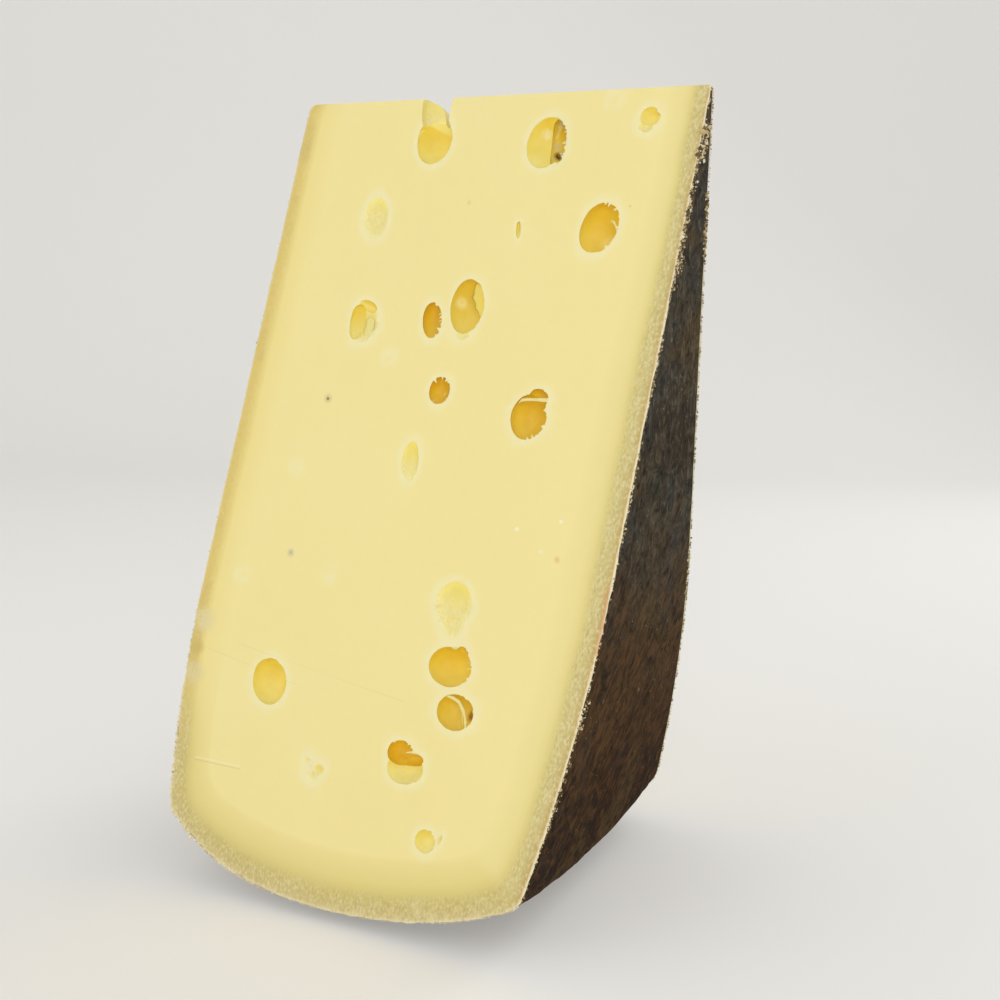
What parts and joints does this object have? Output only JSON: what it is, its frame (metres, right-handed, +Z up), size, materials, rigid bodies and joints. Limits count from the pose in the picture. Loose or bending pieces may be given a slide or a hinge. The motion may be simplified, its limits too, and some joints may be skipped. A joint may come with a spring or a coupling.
{
  "type": "emmental cheese wedge",
  "caption": "Tall wedge of cave-aged emmental, standing on its curved heel, with round eyes in both pale cut faces and a thin dark rind around it.",
  "frame": {"origin": "middle of the small flat spot on the heel that the wedge rests on", "axes": "+Z up, +X to the right across the wheel's thickness, the way the top leans, +Y from the front cut face to the back one"},
  "size_m": [0.2239, 0.18, 0.3614],
  "materials": {
    "paste": "pale butter-yellow cut paste, smooth and faintly moist, darker and granular towards the rind",
    "rind": "dry charcoal-brown cave-aged rind, fine fibres and scratches, greyer and paler in patches"
  },
  "bodies": {
    "root": {"cheese": "paste"}
  },
  "joints": []
}
